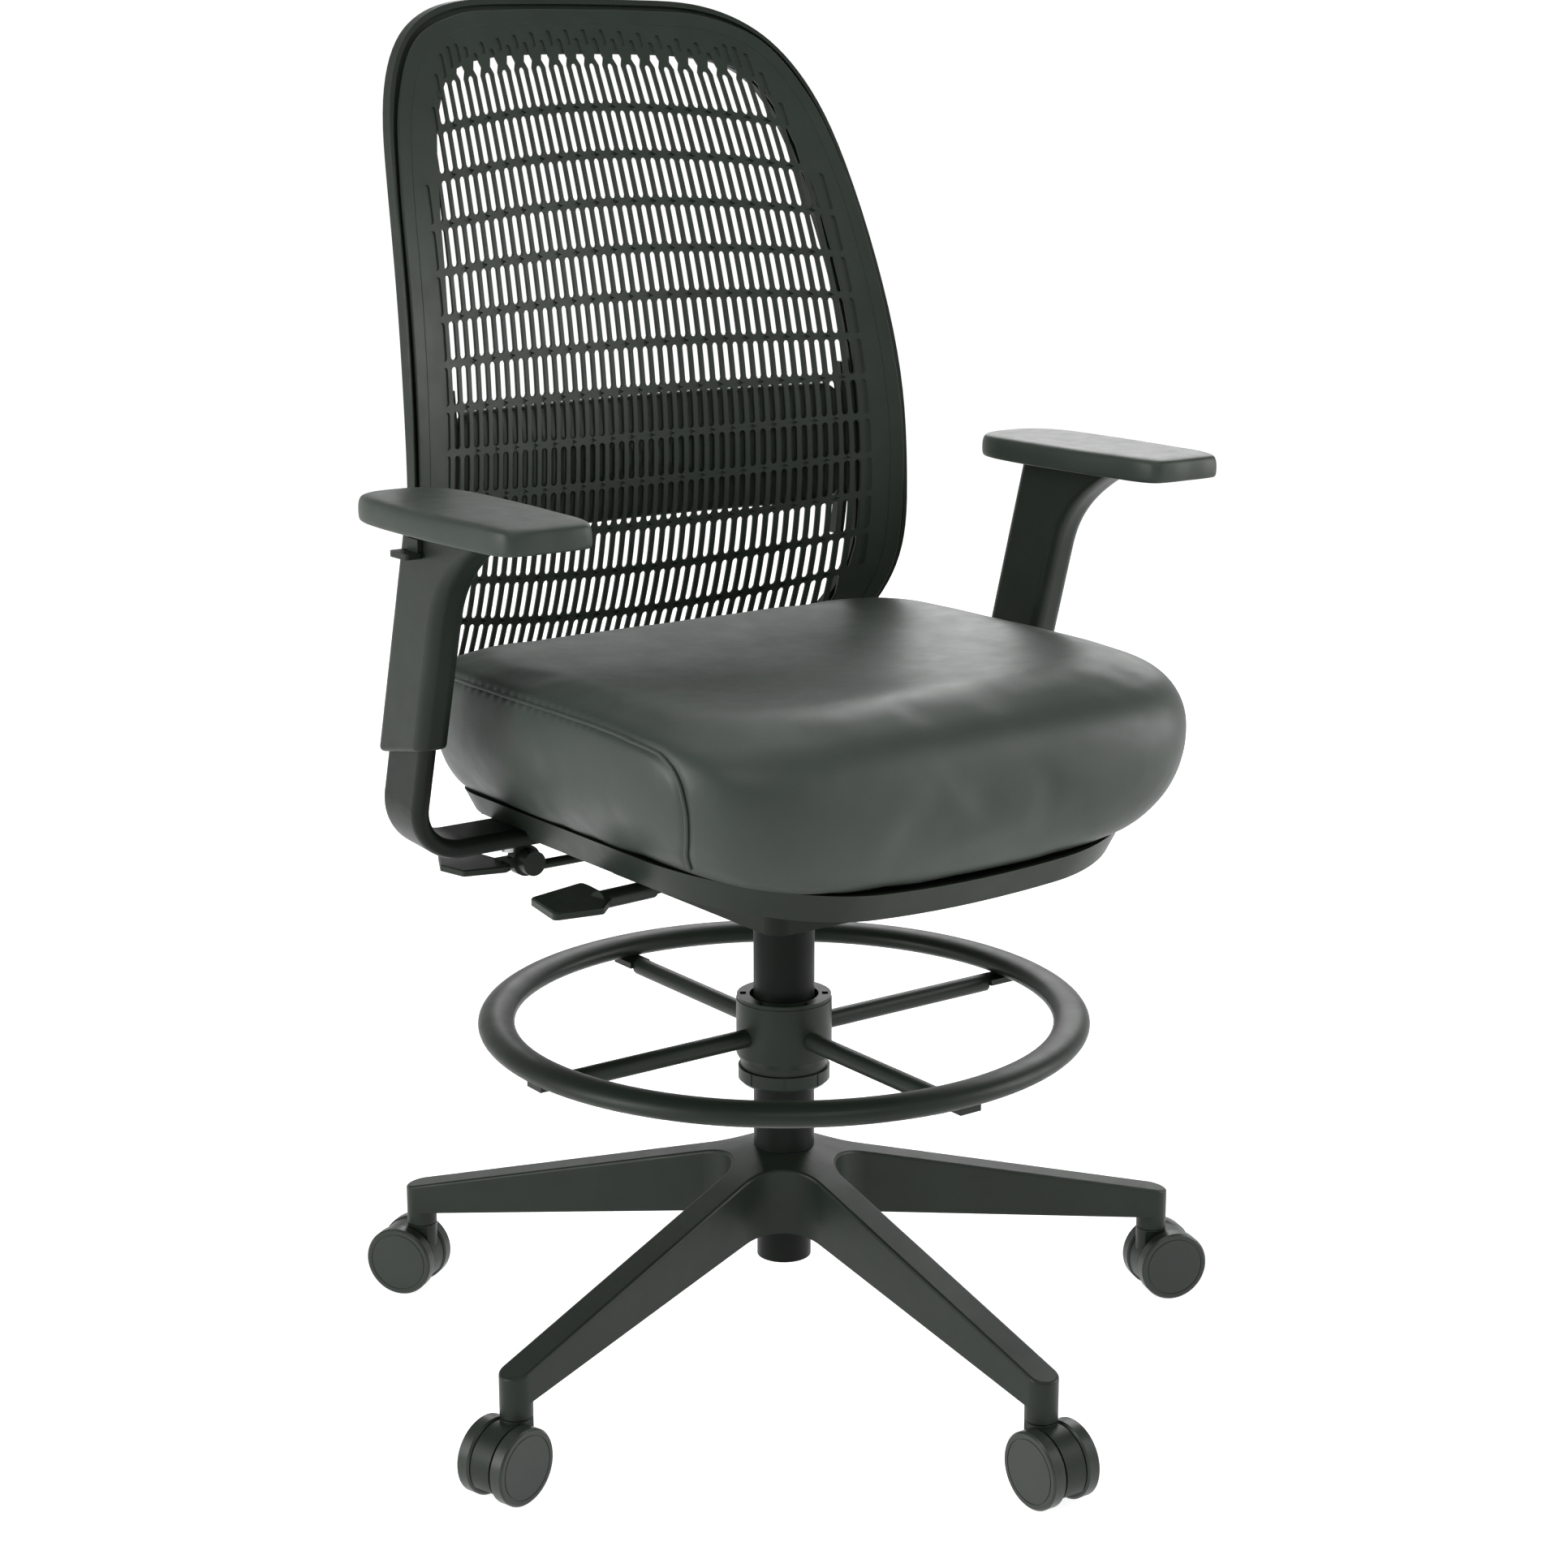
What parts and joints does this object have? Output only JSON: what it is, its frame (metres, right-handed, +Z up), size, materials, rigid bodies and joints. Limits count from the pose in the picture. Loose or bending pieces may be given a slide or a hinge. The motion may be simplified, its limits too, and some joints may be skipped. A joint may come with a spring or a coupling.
{
  "type": "drafting chair",
  "caption": "Tall swivel drafting chair with a foot ring, padded seat, flexible lattice back, adjustable arms and a five-legged base on twin-wheel casters.",
  "frame": {"origin": "on the floor under the centre of the seat column", "axes": "+Z up, the sitter faces -Y, the sitter's right hand is at -X"},
  "size_m": [0.7308, 0.6991, 1.095],
  "materials": {
    "black_plastic": "moulded nylon, fine texture",
    "black_vinyl": "grained upholstery vinyl, satin",
    "back_plastic": "moulded polypropylene lattice, satin",
    "pad_urethane": "soft skinned urethane",
    "black_steel": "black powder coat",
    "bright_steel": "ground steel",
    "chrome": "polished",
    "plywood": "plain moulded plywood",
    "wheel_nylon": "smooth nylon",
    "spring_rubber": "plain"
  },
  "bodies": {
    "base": {"base_star": "black_plastic", "caster_stems": "bright_steel", "column_tube": "black_steel", "guide_bush": "black_plastic", "piston_rod": "bright_steel", "rod_clip": "bright_steel"},
    "caster_1": {"caster_1_hood": "black_plastic"},
    "caster_1_wheels": {"caster_1_axle": "bright_steel", "caster_1_wheel_a": "wheel_nylon", "caster_1_wheel_b": "wheel_nylon"},
    "caster_2": {"caster_2_hood": "black_plastic"},
    "caster_2_wheels": {"caster_2_axle": "bright_steel", "caster_2_wheel_a": "wheel_nylon", "caster_2_wheel_b": "wheel_nylon"},
    "caster_3": {"caster_3_hood": "black_plastic"},
    "caster_3_wheels": {"caster_3_axle": "bright_steel", "caster_3_wheel_a": "wheel_nylon", "caster_3_wheel_b": "wheel_nylon"},
    "caster_4": {"caster_4_hood": "black_plastic"},
    "caster_4_wheels": {"caster_4_axle": "bright_steel", "caster_4_wheel_a": "wheel_nylon", "caster_4_wheel_b": "wheel_nylon"},
    "caster_5": {"caster_5_hood": "black_plastic"},
    "caster_5_wheels": {"caster_5_axle": "bright_steel", "caster_5_wheel_a": "wheel_nylon", "caster_5_wheel_b": "wheel_nylon"},
    "foot_ring": {"foot_ring_hoop": "black_plastic", "foot_ring_spokes": "black_plastic", "foot_ring_collar": "black_plastic", "foot_ring_collet": "black_plastic", "foot_ring_cap": "black_plastic"},
    "clamp_nut": {"foot_ring_clamp_nut": "black_plastic"},
    "lift": {"gas_cylinder": "chrome"},
    "release_pin": {"release_pin": "bright_steel"},
    "seat": {"mechanism_housing": "black_steel", "mechanism_plate": "black_steel", "tilt_spring": "spring_rubber", "recline_pin": "bright_steel", "seat_bolts": "bright_steel", "seat_pan": "black_plastic", "seat_board": "plywood", "seat_cushion": "black_vinyl", "arm_stalk_right": "black_steel", "arm_stalk_left": "black_steel", "stalk_screws": "bright_steel", "back_lever_barrel": "black_plastic"},
    "height_lever": {"height_lever_rod": "black_steel", "height_lever_paddle": "black_plastic"},
    "back_lever": {"back_lever_paddle": "black_plastic"},
    "back": {"back_upright": "black_steel", "back_frame": "black_plastic", "back_skin": "back_plastic", "lumbar_rails": "black_plastic"},
    "lumbar": {"lumbar_pad": "pad_urethane"},
    "arm_right": {"arm_sleeve_right": "black_plastic", "arm_pad_right": "pad_urethane"},
    "trigger_right": {"arm_trigger_right": "black_plastic"},
    "arm_left": {"arm_sleeve_left": "black_plastic", "arm_pad_left": "pad_urethane"},
    "trigger_left": {"arm_trigger_left": "black_plastic"}
  },
  "joints": [
    {"name": "caster_1_swivel", "type": "hinge", "parent": "base", "child": "caster_1", "pos_m": [-0.00612, -0.33374, 0.05], "axis": [0, 0, 1], "continuous": true},
    {"name": "caster_1_roll", "type": "hinge", "parent": "caster_1", "child": "caster_1_wheels", "pos_m": [-0.00637, -0.34744, 0.03], "axis": [0.9998, -0.0183, 0], "continuous": true},
    {"name": "caster_2_swivel", "type": "hinge", "parent": "base", "child": "caster_2", "pos_m": [0.31552, -0.10895, 0.05], "axis": [0, 0, 1], "continuous": true},
    {"name": "caster_2_roll", "type": "hinge", "parent": "caster_2", "child": "caster_2_wheels", "pos_m": [0.32847, -0.11342, 0.03], "axis": [0.3264, 0.9452, 0], "continuous": true},
    {"name": "caster_3_swivel", "type": "hinge", "parent": "base", "child": "caster_3", "pos_m": [0.20112, 0.26641, 0.05], "axis": [0, 0, 1], "continuous": true},
    {"name": "caster_3_roll", "type": "hinge", "parent": "caster_3", "child": "caster_3_wheels", "pos_m": [0.20937, 0.27734, 0.03], "axis": [-0.7981, 0.6025, 0], "continuous": true},
    {"name": "caster_4_swivel", "type": "hinge", "parent": "base", "child": "caster_4", "pos_m": [-0.19122, 0.2736, 0.05], "axis": [0, 0, 1], "continuous": true},
    {"name": "caster_4_roll", "type": "hinge", "parent": "caster_4", "child": "caster_4_wheels", "pos_m": [-0.19907, 0.28483, 0.03], "axis": [-0.8197, -0.5729, 0], "continuous": true},
    {"name": "caster_5_swivel", "type": "hinge", "parent": "base", "child": "caster_5", "pos_m": [-0.3193, -0.09731, 0.05], "axis": [0, 0, 1], "continuous": true},
    {"name": "caster_5_roll", "type": "hinge", "parent": "caster_5", "child": "caster_5_wheels", "pos_m": [-0.3324, -0.10131, 0.03], "axis": [0.2915, -0.9566, 0], "continuous": true},
    {"name": "foot_ring_height", "type": "slide", "parent": "base", "child": "foot_ring", "axis": [0, 0, 1], "range_m": [-0.045, 0.03]},
    {"name": "clamp_nut_turn", "type": "hinge", "parent": "foot_ring", "child": "clamp_nut", "pos_m": [0, 0, 0.24], "axis": [0, 0, 1], "range_deg": [0, 60]},
    {"name": "seat_height", "type": "slide", "parent": "base", "child": "lift", "axis": [0, 0, 1], "range_m": [0, 0.2]},
    {"name": "release_pin_press", "type": "slide", "parent": "lift", "child": "release_pin", "axis": [0, 0, -1], "range_m": [0, 0.0047]},
    {"name": "seat_swivel", "type": "hinge", "parent": "lift", "child": "seat", "pos_m": [0, 0, 0.4], "axis": [0, 0, 1], "continuous": true},
    {"name": "height_lever_lift", "type": "hinge", "parent": "seat", "child": "height_lever", "pos_m": [-0.062, -0.017, 0.424], "axis": [-0.2377, 0.9713, 0], "range_deg": [0, 4], "stiffness_Nm_per_rad": 2},
    {"name": "back_lever_turn", "type": "hinge", "parent": "seat", "child": "back_lever", "pos_m": [-0.192, 0.084, 0.431], "axis": [0, 1, 0], "range_deg": [-12, 6]},
    {"name": "back_recline", "type": "hinge", "parent": "seat", "child": "back", "pos_m": [0, 0.118, 0.41], "axis": [-1, 0, 0], "range_deg": [0, 18], "stiffness_Nm_per_rad": 90, "springref_deg": -5.73},
    {"name": "lumbar_height", "type": "slide", "parent": "back", "child": "lumbar", "axis": [0, 0, 1], "range_m": [-0.02, 0.03]},
    {"name": "arm_height_right", "type": "slide", "parent": "seat", "child": "arm_right", "axis": [0, -0.2672, 0.9636], "range_m": [0, 0.1]},
    {"name": "arm_trigger_press_right", "type": "slide", "parent": "arm_right", "child": "trigger_right", "axis": [0, -0.2672, 0.9636], "range_m": [0, 0.004], "stiffness_N_per_m": 400},
    {"name": "arm_height_left", "type": "slide", "parent": "seat", "child": "arm_left", "axis": [0, -0.2672, 0.9636], "range_m": [0, 0.1]},
    {"name": "arm_trigger_press_left", "type": "slide", "parent": "arm_left", "child": "trigger_left", "axis": [0, -0.2672, 0.9636], "range_m": [0, 0.004], "stiffness_N_per_m": 400}
  ],
  "couplings": [
    {"joint": "release_pin_press", "follows": "height_lever_lift", "m_per_rad": 0.0643}
  ]
}
